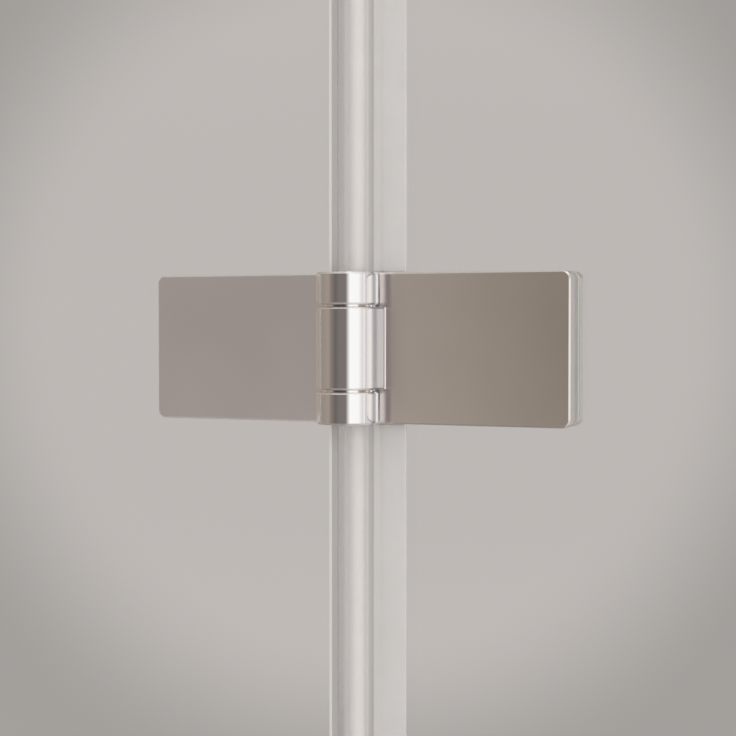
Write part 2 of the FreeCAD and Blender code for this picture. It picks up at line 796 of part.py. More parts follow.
def make_joint_seal(label, bottom, top):
    # A clip on the moving glass, with a neck, a bubble and a lip towards the fixed glass
    body = new_body(label)
    length = top - bottom
    inner = glass_half + size.seal_clearance
    outer = inner + size.seal_wall
    seat = size.moving_edge_setback - size.seal_clearance
    base = seat - size.seal_base
    front_end = size.moving_edge_setback + size.seal_front_grip
    back_end = size.moving_edge_setback + size.seal_back_grip
    bubble_middle = base - size.neck_length - size.bubble_radius
    lip_tip = size.lip_gap - size.fixed_edge_setback
    neck_half = size.neck_thickness / 2
    lip_half = size.lip_thickness / 2
    clip = [
        (base, -outer),
        (front_end, -outer),
        (front_end, -inner),
        (seat, -inner),
        (seat, inner),
        (back_end, inner),
        (back_end, outer),
        (base, outer),
    ]
    solid_parts = (
        outline(clip),
        rectangle(bubble_middle, base + size.seal_base / 2, -neck_half, neck_half),
        rectangle(lip_tip, bubble_middle, -lip_half, lip_half),
        circle(bubble_middle, zero, size.bubble_radius),
    )
    for draw in solid_parts:
        add_pad(body, add_sketch(body, "XY_Plane", [draw]), length)
    hollow = circle(bubble_middle, zero, size.bubble_radius - size.bubble_wall)
    add_pocket(body, add_sketch(body, "XY_Plane", [hollow]), length, forward=True)
    put(body, size.fold_axis_reach, zero, bottom)


def make_joint_seals():
    clear = hinge_half + size.seal_end_gap
    bottom = glass_bottom + size.drip_grip + size.seal_end_gap
    make_joint_seal("joint_seal_lower", bottom, lower_hinge - clear)
    make_joint_seal("joint_seal_middle", lower_hinge + clear, upper_hinge - clear)
    make_joint_seal("joint_seal_upper", upper_hinge + clear, glass_top - size.seal_end_gap)


def make_bottom_seal(label, start, end):
    # Two legs up the glass, a fin down to the rim and a lip that throws drips to the barrel side
    body = new_body(label)
    inner = glass_half + size.seal_clearance
    outer = inner + size.drip_wall
    seat = glass_bottom - size.seal_clearance
    base = seat - size.drip_base
    top = glass_bottom + size.drip_grip
    fin = size.drip_fin / 2
    lip_tip = outer + size.drip_lip_reach
    points = [
        (-inner, top),
        (-outer, top),
        (-outer, base + size.drip_wall),
        (-lip_tip, base - size.drip_lip_drop + size.drip_wall),
        (-lip_tip, base - size.drip_lip_drop),
        (-outer, base),
        (-fin, base),
        (-fin, size.drip_rim_gap),
        (fin, size.drip_rim_gap),
        (fin, base),
        (outer, base),
        (outer, top),
        (inner, top),
        (inner, seat),
        (-inner, seat),
    ]
    add_pad(body, add_sketch(body, "YZ_Plane", [outline(points)]), end - start)
    put(body, x=start)


def make_bottom_seals():
    profile_end = profile_mouth + size.glazing_lip + size.drip_end_gap
    make_bottom_seal("fixed_bottom_seal", profile_end, fixed_glass_end)
    moving_end = size.screen_width - size.glass_corner_radius - size.drip_end_gap
    make_bottom_seal("moving_bottom_seal", moving_glass_start, moving_end)


make_wall_channel()
make_glazing_channel()
make_glazing_gasket()
make_lock_pieces()
make_profile_top_cap()
make_fixed_glass()
make_moving_glass()
make_hinge("lower", lower_hinge)
make_hinge("upper", upper_hinge)
make_joint_seals()
make_bottom_seals()
doc.recompute()

failed = [item.Label for item in doc.Objects if {"Invalid", "Error"} & set(item.State)]
if failed:
    raise RuntimeError(f"not rebuilt: {failed}")

pieces = [item for item in doc.Objects if item.TypeId == "PartDesign::Body"]
for piece in pieces:
    if piece.Shape.isNull() or not piece.Shape.isValid() or not piece.Shape.Solids:
        raise RuntimeError(f"{piece.Label} is not a sound solid")

os.makedirs("parts", exist_ok=True)
for piece in pieces:
    piece.Shape.exportStep(f"parts/{piece.Label}.step")
    print(piece.Label, len(piece.Shape.Solids), round(piece.Shape.Volume, 2))
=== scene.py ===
import bmesh
import bpy
import json
import math
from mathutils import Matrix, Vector


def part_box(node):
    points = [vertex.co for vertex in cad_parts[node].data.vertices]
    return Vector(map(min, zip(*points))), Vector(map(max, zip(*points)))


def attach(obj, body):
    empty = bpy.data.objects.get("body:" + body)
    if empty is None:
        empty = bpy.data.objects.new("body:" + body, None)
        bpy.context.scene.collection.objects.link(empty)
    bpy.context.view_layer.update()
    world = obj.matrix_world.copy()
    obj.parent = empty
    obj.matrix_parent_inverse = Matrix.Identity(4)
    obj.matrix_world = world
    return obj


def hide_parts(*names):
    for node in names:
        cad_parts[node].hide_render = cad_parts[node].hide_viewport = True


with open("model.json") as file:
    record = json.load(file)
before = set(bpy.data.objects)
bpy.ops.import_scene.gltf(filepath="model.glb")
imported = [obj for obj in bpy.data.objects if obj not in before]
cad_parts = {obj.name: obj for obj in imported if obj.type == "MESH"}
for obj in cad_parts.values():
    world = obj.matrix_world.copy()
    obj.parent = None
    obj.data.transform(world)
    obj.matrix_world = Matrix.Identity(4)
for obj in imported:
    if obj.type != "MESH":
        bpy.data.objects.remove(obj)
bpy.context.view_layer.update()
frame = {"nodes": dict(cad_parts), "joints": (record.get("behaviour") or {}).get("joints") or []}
nodes = frame["nodes"]
foldAxis = Vector(frame["joints"][0]["pos_m"])  # on the line that the folding leaf turns about
hingeMiddle = sum(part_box("upper_fixed_leaf"), Vector()) / 2
lowerMiddle = sum(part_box("lower_fixed_leaf"), Vector()) / 2
print("frame:", len(nodes), "nodes")


class Term:
    # a socket that can stand in a sum, so that 1 - mask adds its own Math node
    def __init__(self, look, socket):
        self.look = look
        self.socket = socket

    def __add__(self, other):
        return self.look.maths("ADD", self, other)

    def __radd__(self, other):
        return self.look.maths("ADD", other, self)

    def __sub__(self, other):
        return self.look.maths("SUBTRACT", self, other)

    def __rsub__(self, other):
        return self.look.maths("SUBTRACT", other, self)

    def __mul__(self, other):
        return self.look.maths("MULTIPLY", self, other)

    def __rmul__(self, other):
        return self.look.maths("MULTIPLY", other, self)

    def __truediv__(self, other):
        return self.look.maths("DIVIDE", self, other)

    def __rtruediv__(self, other):
        return self.look.maths("DIVIDE", other, self)


class Look:
    # the nodes of one material or of the world
    def __init__(self, owner):
        owner.use_nodes = True
        self.tree = owner.node_tree
        self.tree.nodes.clear()

    def add(self, kind, settings=None, inputs=None, output=0):
        node = self.tree.nodes.new("ShaderNode" + kind)
        for name, value in (settings or {}).items():
            if name == "stops":
                self.fillRamp(node.color_ramp, value)
            else:
                setattr(node, name, value)
        for name, value in (inputs or {}).items():
            if isinstance(value, Term):
                self.tree.links.new(value.socket, node.inputs[name])
            else:
                node.inputs[name].default_value = value
        return Term(self, node.outputs[output]) if node.outputs else None

    def fillRamp(self, ramp, stops):
        while len(ramp.elements) < len(stops):
            ramp.elements.new(1)
        for element, (place, colour) in zip(ramp.elements, stops):
            element.position = place
            element.color = colour

    def maths(self, operation, first, second=0.0):
        return self.add("Math", {"operation": operation}, {0: first, 1: second})

    def ease(self, value, low, high, kind="SMOOTHSTEP"):
        # 0 at low, 1 at high
        inputs = {"Value": value, "From Min": low, "From Max": high}
        return self.add("MapRange", {"interpolation_type": kind}, inputs)

    def band(self, value, low, lowEnd, highStart, high):
        # 1 between lowEnd and highStart, 0 beyond low and high
        return self.ease(value, low, lowEnd) * (1 - self.ease(value, highStart, high))

    def blend(self, factor, first, second):
        return self.add("Mix", {"data_type": "RGBA"}, {0: factor, 6: first, 7: second}, 2)

    def blendVectors(self, factor, first, second):
        return self.add("Mix", {"data_type": "VECTOR"}, {0: factor, 4: first, 5: second}, 1)

    def place(self):
        return self.add("TexCoord", output="Object")

    def axes(self, vector):
        split = self.add("SeparateXYZ", inputs={"Vector": vector}).socket.node
        return [Term(self, socket) for socket in split.outputs]

    def stretch(self, vector, scale):
        return self.add("VectorMath", {"operation": "MULTIPLY"}, {0: vector, 1: scale})

    def noise(self, vector, scale, detail):
        return self.add("TexNoise", inputs={"Vector": vector, "Scale": scale, "Detail": detail})

    def bump(self, height, depth, strength=1.0):
        return self.add("Bump", inputs={"Height": height, "Strength": strength, "Distance": depth})

    def principled(self, inputs):
        return self.add("BsdfPrincipled", inputs=inputs)

    def letLampsThrough(self, shader, tint):
        # shadow rays meet a tinted clear sheet instead
        isShadow = self.add("LightPath", output="Is Shadow Ray")
        sheet = self.add("BsdfTransparent", inputs={"Color": tint})
        return self.add("MixShader", inputs={0: isShadow, 1: shader, 2: sheet})

    def show(self, shader, target="OutputMaterial"):
        self.add(target, inputs={"Surface": shader})


def tone(red, green, blue):
    # a colour as it shows on screen, 0 to 255, made linear
    def linear(value):
        share = value / 255
        return share / 12.92 if share <= 0.04045 else ((share + 0.055) / 1.055) ** 2.4

    return (linear(red), linear(green), linear(blue), 1.0)


def vary(mean, noise, spread):
    # noise runs from 0 to 1, so its middle leaves the mean as it is
    return mean + (noise - 0.5) * spread


def newMaterial(name):
    material = bpy.data.materials.new(name)
    return material, Look(material)


def dress(material, *endings):
    # every node whose name ends in one of these words
    found = [part for name, part in nodes.items() if name.endswith(endings)]
    for part in found:
        part.data.materials.clear()
        part.data.materials.append(material)
    print(material.name, "on", len(found), "nodes")


# Hinge metal: where its finishes lie, in metres from the fold axis and from the hinge's middle
hingeLimits = {
    "plateDepth": (0.0043, 0.00445),
    "plateReach": (0.00945, 0.0096),
    "movingSide": (-0.002, 0.002),  # across the axis, from the fixed plate's side to the moving one's
    "middleHeight": (0.0120, 0.0124),  # half the middle knuckle
    "bevelSlope": (0.56, 0.68, 0.85, 0.95),  # how far a level bevel faces up or down
}


class HingeZones:
    # the places and masks that plates and knuckles share
    def __init__(self, look):
        self.look = look
        self.place = look.place()
        x, y, z = look.axes(self.place)
        self.across = x - foldAxis.x
        self.through = y - foldAxis.y
        reach = look.maths("SQRT", self.across * self.across + self.through * self.through)
        beyondBarrel = look.ease(reach, *hingeLimits["plateReach"])
        heights = [look.maths("ABSOLUTE", z - middle.z) for middle in (hingeMiddle, lowerMiddle)]
        self.reach = reach
        self.turn = look.maths("DEGREES", look.maths("ARCTAN2", self.across, 0 - self.through))
        self.height = look.maths("MINIMUM", *heights)
        self.plate = look.ease(self.through, *hingeLimits["plateDepth"]) * beyondBarrel
        self.moving = look.ease(self.across, *hingeLimits["movingSide"])
        self.ends = look.ease(self.height, *hingeLimits["middleHeight"])  # beside or on the end knuckles
        self.endBarrel = self.ends * (1 - beyondBarrel)
        rise = look.axes(look.add("TexCoord", output="Normal"))[2]
        self.topBevel = look.band(rise, *hingeLimits["bevelSlope"])
        self.levelBevel = look.band(look.maths("ABSOLUTE", rise), *hingeLimits["bevelSlope"])


# Plates of the hinges, with a soft sheen
plateMetal = {
    "fixed": tone(239, 238, 239),
    "fixedRough": 0.34,
    "moving": tone(247, 243, 235),
    "movingRough": 0.325,
    # painted darker towards the moving plate's end, a painted shade on its reflection there
    "movingEnd": tone(221, 216, 204),
    "endRough": 0.3,  # the moving plate is polished finer towards its end
    "endReach": (0.018, 0.067),
    "layers": [  # the moving plates from front to back: a tone and the depth where it starts
        (tone(250, 246, 243), (0.00452, 0.00465)),  # the bevel, painted brightest as a highlight
        (tone(226, 223, 221), (0.0049, 0.0052)),  # the front plate's edge
        (tone(196, 193, 191), (0.006, 0.015)),  # the back plate, and the front plate's edge towards it, painted darker as shade
    ],
    "inner": tone(255, 252, 250),  # the moving back plates' faces towards the glass, painted lighter as light in the shaded gap there
    "innerDepth": (0.0157, 0.0159, 0.0161, 0.0163),
    "levelBevel": tone(197, 193, 189),  # bevels that face up, and the moving plates' that face down, painted darker as shade on their reflection of the bright top
    "root": tone(247, 239, 235),  # beside the barrel
    "rootReach": (0.0112, 0.0132),
    "rootRough": 0.3,  # beside the middle knuckle, polished finer
    "rootShade": tone(212, 202, 197),  # painted shade beside the end knuckles, where the plate meets the barrel
    "rootShadeReach": (0.0090, 0.0106, 0.0112, 0.0128),
    "smearScale": 38,
    "smearRough": 0.05,
    "grainScale": 2400,
    "grainStretch": (1, 1, 0.08),
    "grainRough": 0.03,
    "noiseDetail": 2,
}


def plateColour(zones, along, beyondRoot):
    look = zones.look
    moving = look.blend(along, plateMetal["moving"], plateMetal["movingEnd"])
    for layer, depth in plateMetal["layers"]:
        moving = look.blend(look.ease(zones.through, *depth), moving, layer)
    inner = look.band(zones.through, *plateMetal["innerDepth"])
    moving = look.blend(inner, moving, plateMetal["inner"])
    moving = look.blend(zones.levelBevel, moving, plateMetal["levelBevel"])
    fixed = look.blend(zones.topBevel, plateMetal["fixed"], plateMetal["levelBevel"])
    colour = look.blend(zones.moving, fixed, moving)
    colour = look.blend(beyondRoot, plateMetal["root"], colour)
    shade = look.band(zones.across, *plateMetal["rootShadeReach"]) * zones.ends
    return look.blend(shade, colour, plateMetal["rootShade"])


def plateRough(zones, along, beyondRoot):
    look = zones.look
    fixed, plain = plateMetal["fixedRough"], plateMetal["movingRough"]
    moving = plain + along * (plateMetal["endRough"] - plain)
    moving = moving + (1 - beyondRoot) * (1 - zones.ends) * (plateMetal["rootRough"] - plain)
    rough = fixed + zones.moving * (moving - fixed)
    smear = look.noise(zones.place, plateMetal["smearScale"], plateMetal["noiseDetail"])
    grainPlace = look.stretch(zones.place, plateMetal["grainStretch"])
    grain = look.noise(grainPlace, plateMetal["grainScale"], plateMetal["noiseDetail"])
    return vary(vary(rough, smear, plateMetal["smearRough"]), grain, plateMetal["grainRough"])


# Knuckles of the hinges, polished like a mirror; turns are in degrees round the barrel from its front
knuckleMetal = {
    "colour": tone(240, 239, 238),
    "rough": 0.05,
    "cool": tone(248, 247, 255),  # a bluer tint painted on the barrel's side, tinting its reflection there
    "coolTurn": (60, 62.5, 71, 76),
    "leftFlank": tone(255, 250, 245),  # satin side of the barrel, towards the fixed plate, painted lighter as a highlight
    "leftFlankRough": 0.3,
    "leftFlankTurn": (-44, -37),
    "flank": tone(208, 211, 214),  # towards the moving plate, where the mirror polish ends, painted darker and cooler as shade on its reflection
    "flankRough": 0.14,
    "flankTurn": (70, 80),
    "endFlank": tone(246, 250, 255),  # the side towards the moving plate on the end knuckles, satin, painted a cool tint on its reflection
    "endFlankRough": 0.45,
    "endFlankTurn": (82, 87),
    "strip": tone(187, 186, 197),  # a dark reflection line painted on the flank
    "stripTurn": (74, 81, 91, 97),
    "bevels": [  # stretches of the knuckles' bevels, painted darker as shade on the first and white as a highlight on the second
        (tone(222, 215, 208), (-80, -72, -9, -4)),
        (tone(255, 255, 255), (24, 28, 62, 72)),
    ],
    "bevelRough": 0.3,
    "endBevel": tone(208, 204, 201),  # the bevels at the barrel's two ends, painted darker as shade on their reflection of the bright top
    "endBevelHeight": (0.0214, 0.0218),
    "endBevelTurn": (18, 26),  # where their painted dark stretch ends
    "joint": tone(168, 160, 156),  # painted shade in the joints between knuckles
    "jointTurns": [(-12, -5, 18, 24), (46, 54, 68, 76)],
    "jointHeight": (0.0119, 0.0121, 0.0130, 0.0132),
    "jointReach": (0.0086, 0.0089),
    "ridgeRough": 0.12,  # along the raised line beside the moving plate
    "ridgeSpan": (86, 89, 101, 105),
}


def knuckleColour(zones, flanks):
    look = zones.look
    strip = look.band(zones.turn, *knuckleMetal["stripTurn"]) * (1 - flanks["endFlank"])
    cool = look.band(zones.turn, *knuckleMetal["coolTurn"])
    colour = look.blend(cool, knuckleMetal["colour"], knuckleMetal["cool"])
    for name, share in {**flanks, "strip": strip}.items():
        colour = look.blend(share, colour, knuckleMetal[name])
    for bevelTone, turns in knuckleMetal["bevels"]:
        colour = look.blend(zones.levelBevel * look.band(zones.turn, *turns), colour, bevelTone)
    endBevel = zones.levelBevel * look.ease(zones.height, *knuckleMetal["endBevelHeight"])
    endBevel = endBevel * (1 - look.ease(zones.turn, *knuckleMetal["endBevelTurn"]))
    colour = look.blend(endBevel, colour, knuckleMetal["endBevel"])
    # painted shade in the joint gaps, only at the turns listed
    shadedTurns = [look.band(zones.turn, *turns) for turns in knuckleMetal["jointTurns"]]
    joint = look.band(zones.height, *knuckleMetal["jointHeight"]) * sum(shadedTurns[1:], shadedTurns[0])
    joint = joint * (1 - look.ease(zones.reach, *knuckleMetal["jointReach"]))
    return look.blend(joint, colour, knuckleMetal["joint"])


def knuckleRough(zones, flanks):
    look = zones.look
    mirror, flank, endFlank = (knuckleMetal[name] for name in ("rough", "flankRough", "endFlankRough"))
    ridge = zones.endBarrel * look.band(zones.turn, *knuckleMetal["ridgeSpan"])
    rough = mirror + flanks["flank"] * (flank - mirror)
    rough = rough + flanks["endFlank"] * (endFlank - flank)
    rough = rough + ridge * (knuckleMetal["ridgeRough"] - endFlank)
    rough = rough + flanks["leftFlank"] * (knuckleMetal["leftFlankRough"] - mirror)
    return rough + zones.levelBevel * knuckleMetal["bevelRough"]


# Thin lines of light where barrel and moving plate meet
hingeLines = {
    "ridgeTurn": (89, 102),  # the end knuckles rise a little here
    "ridgeHeight": 0.00135,
    "stepReach": (0.0099, 0.01065),  # the moving plate drops a little beside the middle knuckle
    "stepHeight": 0.0004,
}


def hingeNormal(zones):
    look = zones.look
    ridge = look.bump(look.ease(zones.turn, *hingeLines["ridgeTurn"]), hingeLines["ridgeHeight"])
    step = look.bump(1 - look.ease(zones.across, *hingeLines["stepReach"]), hingeLines["stepHeight"])
    normal = look.add("NewGeometry", output="Normal")
    normal = look.blendVectors(zones.endBarrel, normal, ridge)
    return look.blendVectors(zones.plate * (1 - zones.ends), normal, step)


def chromeLook():
    material, look = newMaterial("polishedChrome")
    zones = HingeZones(look)
    along = look.ease(zones.across, *plateMetal["endReach"], "LINEAR")
    beyondRoot = look.ease(look.maths("ABSOLUTE", zones.across), *plateMetal["rootReach"])
    flanks = {
        "leftFlank": 1 - look.ease(zones.turn, *knuckleMetal["leftFlankTurn"]),
        "flank": look.ease(zones.turn, *knuckleMetal["flankTurn"]),
        "endFlank": zones.ends * look.ease(zones.turn, *knuckleMetal["endFlankTurn"]),
    }
    onKnuckle, onPlate = knuckleRough(zones, flanks), plateRough(zones, along, beyondRoot)
    colour = look.blend(zones.plate, knuckleColour(zones, flanks), plateColour(zones, along, beyondRoot))
    look.show(look.principled({
        "Base Color": colour,
        "Metallic": 1.0,
        "Roughness": (1 - zones.plate) * onKnuckle + zones.plate * onPlate,
        "Normal": hingeNormal(zones),
    }))
    return material


dress(chromeLook(), "_leaf", "_back_plate", "barrel_caps", "hinge_washers")


def grainedLook(name, finish):
    # two tones mixed by a noise, which also varies the roughness and may raise the surface
    material, look = newMaterial(name)
    place = look.place()
    if "stretch" in finish:
        place = look.stretch(place, finish["stretch"])
    grain = look.noise(place, finish["scale"], finish["detail"])
    inputs = {
        "Base Color": look.blend(grain, finish["dark"], finish["colour"]),
        "Metallic": finish["metallic"],
        "Roughness": vary(finish["rough"], grain, finish["roughSpread"]),
    }
    if "bump" in finish:
        inputs["Normal"] = look.bump(grain, *finish["bump"])
    look.show(look.principled(inputs))
    return material


# Screws and pins, turned from steel
steel = {
    "colour": tone(190, 189, 188),
    "dark": tone(150, 149, 149),
    "scale": 1800,
    "detail": 3,
    "metallic": 1.0,
    "rough": 0.3,
    "roughSpread": 0.2,
}
dress(grainedLook("turnedSteel", steel), "_screws", "hinge_pin")

# Wall profiles, bright anodised, with draw lines along their length
profile = {
    "colour": tone(214, 213, 212),
    "dark": tone(196, 195, 195),
    "scale": 900,
    "stretch": (1, 1, 0.004),
    "detail": 4,
    "metallic": 1.0,
    "rough": 0.28,
    "roughSpread": 0.12,
}
dress(grainedLook("brightProfile", profile), "wall_channel", "glazing_channel")

# Moulded caps of the wall profile
cap = {
    "colour": tone(188, 188, 189),
    "dark": tone(178, 178, 180),
    "scale": 1400,
    "detail": 3,
    "metallic": 0.0,
    "rough": 0.32,
    "roughSpread": 0.15,
    "bump": (0.0002, 0.15),  # depth and strength
}
dress(grainedLook("mouldedCap", cap), "profile_top_cap", "screw_caps")

# Soft sheets between metal and glass
gasket = {
    "colour": tone(252, 251, 249),
    "dark": tone(245, 243, 240),
    "scale": 1600,
    "detail": 3,
    "metallic": 0.0,
    "rough": 0.6,
    "roughSpread": 0.2,
    "bump": (0.0002, 0.2),
}
dress(grainedLook("clampGasket", gasket), "gasket")

# Turned nylon, mostly hidden
nylon = {
    "colour": tone(232, 230, 224),
    "dark": tone(220, 217, 210),
    "scale": 1200,
    "detail": 3,
    "metallic": 0.0,
    "rough": 0.45,
    "roughSpread": 0.2,
}
dress(grainedLook("turnedNylon", nylon), "hinge_bush", "glass_sleeves")

# Clear glass with ground edges
glass = {
    "face": (0.975, 0.985, 0.98, 1),
    "shadow": (0.94, 0.95, 0.945, 1),
    "refraction": 1.5,
    "faceSlope": (0.75, 0.95),  # how far a surface faces front or back, from edge to face
    "arrisSlope": (0.4, 0.6),  # from edge to the narrow bevel between edge and face
    "ground": tone(168, 182, 175),
    "jointGround": tone(198, 195, 193),  # the edges that face each other at the joint
    "jointReach": (0.02, 0.03),
    "arris": tone(206, 207, 203),
    "groundCover": 0.8,  # how much of an edge is ground, the rest lets light through
    "groundRough": 0.4,
    "gritScale": 1500,
    "gritRough": 0.2,
    "gritBump": (0.0001, 0.1),
    "filmScale": 9,
    "filmRough": 0.004,
    "noiseDetail": 3,
}


def glassLook():
    material, look = newMaterial("clearGlass")
    place = look.place()
    facing = look.maths("ABSOLUTE", look.axes(look.add("TexCoord", output="Normal"))[1])
    edge = 1 - look.ease(facing, *glass["faceSlope"])
    arris = look.ease(facing, *glass["arrisSlope"])
    film = look.noise(place, glass["filmScale"], glass["noiseDetail"])
    clear = look.principled({
        "Base Color": glass["face"],
        "Roughness": film * glass["filmRough"],
        "Transmission Weight": 1.0,
        "IOR": glass["refraction"],
    })
    grit = look.noise(place, glass["gritScale"], glass["noiseDetail"])
    fromJoint = look.maths("ABSOLUTE", look.axes(place)[0] - foldAxis.x)
    outside = look.ease(fromJoint, *glass["jointReach"])
    edgeColour = look.blend(outside, glass["jointGround"], glass["ground"])
    ground = look.principled({
        "Base Color": look.blend(arris, edgeColour, glass["arris"]),
        "Roughness": vary(glass["groundRough"], grit, glass["gritRough"]),
        "Normal": look.bump(grit, *glass["gritBump"]),
    })
    pane = look.add("MixShader", inputs={0: edge * glass["groundCover"], 1: clear, 2: ground})
    look.show(look.letLampsThrough(pane, glass["shadow"]))
    return material


dress(glassLook(), "fixed_glass", "moving_glass")

# Milky vinyl of the clip seals
vinyl = {
    "colour": tone(228, 226, 226),
    "cloud": tone(220, 218, 217),
    "cloudScale": 60,
    # painted shade in the crease at the seal's neck
    "neck": tone(190, 187, 186),
    "neckReach": (0.0013, 0.0021, 0.0032, 0.0040),  # across from the fold axis
    "lip": tone(160, 158, 157),
    "lipReach": (-0.0115, -0.0105, -0.0082, -0.0050),
    "cover": 0.5,  # share of what is behind that one skin hides
    "lipCover": 0.3,  # the thin lip towards the fixed glass hides less
    "cloudCover": 0.06,
    "rough": 0.34,
    "drawScale": 700,
    "drawStretch": (1, 1, 0.004),
    "drawRough": 0.15,
    "noiseDetail": 3,
    "refraction": 1.45,
    "shadow": (0.93, 0.92, 0.91, 1),
}


def vinylLook():
    material, look = newMaterial("milkyVinyl")
    place = look.place()
    cloud = look.noise(place, vinyl["cloudScale"], vinyl["noiseDetail"])
    draw = look.noise(look.stretch(place, vinyl["drawStretch"]), vinyl["drawScale"], vinyl["noiseDetail"])
    across = look.axes(place)[0] - foldAxis.x
    lip = look.band(across, *vinyl["lipReach"])
    milk = look.blend(cloud, vinyl["cloud"], vinyl["colour"])
    milk = look.blend(look.band(across, *vinyl["neckReach"]), milk, vinyl["neck"])
    milk = look.blend(lip, milk, vinyl["lip"])
    cover = vinyl["cover"] - lip * (vinyl["cover"] - vinyl["lipCover"])
    skin = look.principled({
        "Base Color": milk,
        "Roughness": vary(vinyl["rough"], draw, vinyl["drawRough"]),
        "Alpha": vary(cover, cloud, vinyl["cloudCover"]),
        "IOR": vinyl["refraction"],
    })
    look.show(look.letLampsThrough(skin, vinyl["shadow"]))
    return material


sealVinyl = vinylLook()
sealSharpAngle = math.radians(35)  # edges of the seals that bend more stay crisp


def roundCorners(corners, steps=4):
    # corners are (u, v, radius); each one with a radius becomes an arc
    points = []
    for index, (u, v, radius) in enumerate(corners):
        here = Vector((u, v))
        if not radius:
            points.append(here)
            continue
        before = (Vector(corners[index - 1][:2]) - here).normalized()
        after = (Vector(corners[(index + 1) % len(corners)][:2]) - here).normalized()
        half = before.angle(after) / 2
        centre = here + (before + after).normalized() * radius / math.sin(half)
        first = here + before * radius / math.tan(half) - centre
        last = here + after * radius / math.tan(half) - centre
        turn = first.angle_signed(last)
        start = math.atan2(first.y, first.x)
        for step in range(steps + 1):
            angle = start - turn * step / steps
            points.append(centre + radius * Vector((math.cos(angle), math.sin(angle))))
    return points


def arcPoints(middle, radius, first, last, steps=20):
    angles = [first + (last - first) * step / steps for step in range(steps + 1)]
    return [(middle + radius * math.cos(angle), radius * math.sin(angle), 0) for angle in angles]


def extrudeSection(name, loops, ends, stand):
    # loops are the outline and its holes; stand turns (u, v, along) into a place
    mesh = bpy.data.meshes.new(name)
    work = bmesh.new()
    rims = ([], [])
    for loop in loops:
        rings = [[work.verts.new(stand(point.x, point.y, end)) for point in loop] for end in ends]
        for index in range(len(loop)):
            after = (index + 1) % len(loop)
            work.faces.new((rings[0][index], rings[0][after], rings[1][after], rings[1][index]))
            for rim, ring in zip(rims, rings):
                rim.append(work.edges.get((ring[index], ring[after])))
    for rim in rims:
        bmesh.ops.triangle_fill(work, use_beauty=True, edges=rim)
    bmesh.ops.recalc_face_normals(work, faces=work.faces)
    for face in work.faces:
        face.smooth = True
    work.to_mesh(mesh)
    work.free()
    mesh.set_sharp_from_angle(angle=sealSharpAngle)
    piece = bpy.data.objects.new(name, mesh)
    bpy.context.scene.collection.objects.link(piece)
    mesh.materials.append(sealVinyl)
    return piece


# Seals up the joint: a clip on the folding glass, with a neck, a bubble and a lip towards the fixed glass
jointSeal = {
    "clearance": 0.0001,
    "wall": 0.001,
    "base": 0.0012,
    "backGrip": 0.0064,
    "neckLength": 0.0042,
    "neckHalf": 0.001,
    "bubbleRadius": 0.003,
    "bubbleWall": 0.0007,
    "lipHalf": 0.0004,
    "tipRound": 0.0003,
    "cornerRound": 0.0004,
    "rootRound": 0.0005,
    "hollowSteps": 40,
}


def jointSealLoops(low, high):
    seal = jointSeal
    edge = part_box("moving_glass")[0].x - foldAxis.x
    lipTip, frontEnd, outer = low.x - foldAxis.x, high.x - foldAxis.x, high.y
    inner = outer - seal["wall"]
    seat = edge - seal["clearance"]
    base = seat - seal["base"]
    backEnd = edge + seal["backGrip"]
    radius, neck, lip = seal["bubbleRadius"], seal["neckHalf"], seal["lipHalf"]
    middle = base - seal["neckLength"] - radius
    lipAngle, neckAngle = math.asin(lip / radius), math.asin(neck / radius)
    tip, corner, root = seal["tipRound"], seal["cornerRound"], seal["rootRound"]
    corners = [(lipTip, -lip, tip)]
    corners += arcPoints(middle, radius, math.pi + lipAngle, 2 * math.pi - neckAngle)
    corners += [
        (base, -neck, root),
        (base, -outer, corner),
        (frontEnd, -outer, tip),
        (frontEnd, -inner, tip),
        (seat, -inner, 0),
        (seat, inner, 0),
        (backEnd, inner, tip),
        (backEnd, outer, tip),
        (base, outer, corner),
        (base, neck, root),
    ]
    corners += arcPoints(middle, radius, neckAngle, math.pi - lipAngle)
    corners.append((lipTip, lip, tip))
    hollow = arcPoints(middle, radius - seal["bubbleWall"], 0, 2 * math.pi, seal["hollowSteps"])[:-1]
    return [roundCorners(corners), roundCorners(hollow)]


def standUp(u, v, z):
    # from across the fold axis and through the glass
    return (foldAxis.x + u, v, z)


def makeJointSeals():
    for part in ("lower", "middle", "upper"):
        node = "joint_seal_" + part
        low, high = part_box(node)
        piece = extrudeSection(part + "_bubble_seal", jointSealLoops(low, high), (low.z, high.z), standUp)
        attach(piece, "folding_leaf")
        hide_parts(node)


makeJointSeals()
print("joint seals made")

# Seals under the glass: a clip, a fin down to the rim and a lip that throws drips off
dripSeal = {
    "clearance": 0.0001,
    "wall": 0.001,
    "base": 0.0012,
    "finHalf": 0.0006,
    "lipReach": 0.0045,
    "lipDrop": 0.004,
    "tipRound": 0.0003,
    "cornerRound": 0.0004,
}


def dripSealLoop(low, high):
    seal = dripSeal
    outer = high.y
    inner = outer - seal["wall"]
    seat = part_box("fixed_glass")[0].z - seal["clearance"]
    base = seat - seal["base"]
    fin = seal["finHalf"]
    lipTip, lipLow = outer + seal["lipReach"], base - seal["lipDrop"]
    tip, corner = seal["tipRound"], seal["cornerRound"]
    return roundCorners([
        (-inner, high.z, tip),
        (-outer, high.z, tip),
        (-outer, base + seal["wall"], corner),
        (-lipTip, lipLow + seal["wall"], tip),
        (-lipTip, lipLow, tip),
        (-outer, base, corner),
        (-fin, base, tip),
        (-fin, low.z, tip),
        (fin, low.z, tip),
        (fin, base, tip),
        (outer, base, corner),
        (outer, high.z, tip),
        (inner, high.z, tip),
        (inner, seat, 0),
        (-inner, seat, 0),
    ])


def lieLevel(y, z, x):
    return (x, y, z)


